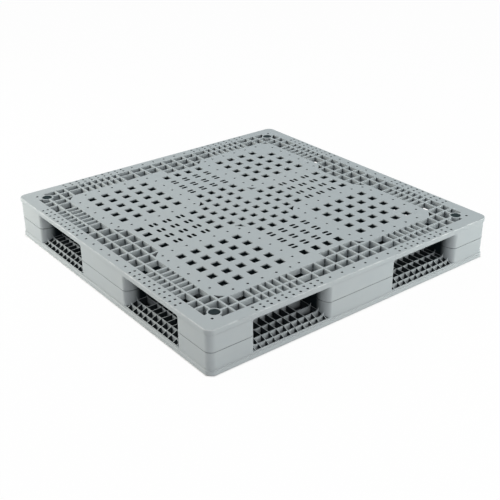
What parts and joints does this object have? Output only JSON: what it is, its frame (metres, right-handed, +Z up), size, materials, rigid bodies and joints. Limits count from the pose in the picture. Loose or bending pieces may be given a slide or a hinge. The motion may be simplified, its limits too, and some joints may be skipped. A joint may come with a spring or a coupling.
{
  "type": "plastic pallet",
  "caption": "Square four-way plastic pallet of two welded halves: a perforated deck, hollow blocks with fork tunnels between them, and rubber grips in the corners.",
  "frame": {"origin": "centre of the ground face, on the floor", "axes": "+Z up; +X to the right and +Y to the back, each along a side of the pallet"},
  "size_m": [1.1, 1.1, 0.14],
  "materials": {
    "moulded_plastic": "satin moulded polypropylene, pale blue-grey",
    "grip_rubber": "matt dark grey rubber"
  },
  "bodies": {
    "root": {"upper_deck": "moulded_plastic", "upper_block_front_left": "moulded_plastic", "upper_block_front_middle": "moulded_plastic", "upper_block_front_right": "moulded_plastic", "upper_block_middle_left": "moulded_plastic", "upper_block_centre": "moulded_plastic", "upper_block_middle_right": "moulded_plastic", "upper_block_back_left": "moulded_plastic", "upper_block_back_middle": "moulded_plastic", "upper_block_back_right": "moulded_plastic", "upper_grip_front_left": "grip_rubber", "upper_grip_front_right": "grip_rubber", "upper_grip_back_left": "grip_rubber", "upper_grip_back_right": "grip_rubber", "lower_deck": "moulded_plastic", "lower_block_front_left": "moulded_plastic", "lower_block_front_middle": "moulded_plastic", "lower_block_front_right": "moulded_plastic", "lower_block_middle_left": "moulded_plastic", "lower_block_centre": "moulded_plastic", "lower_block_middle_right": "moulded_plastic", "lower_block_back_left": "moulded_plastic", "lower_block_back_middle": "moulded_plastic", "lower_block_back_right": "moulded_plastic", "lower_grip_front_left": "grip_rubber", "lower_grip_front_right": "grip_rubber", "lower_grip_back_left": "grip_rubber", "lower_grip_back_right": "grip_rubber"}
  },
  "joints": []
}
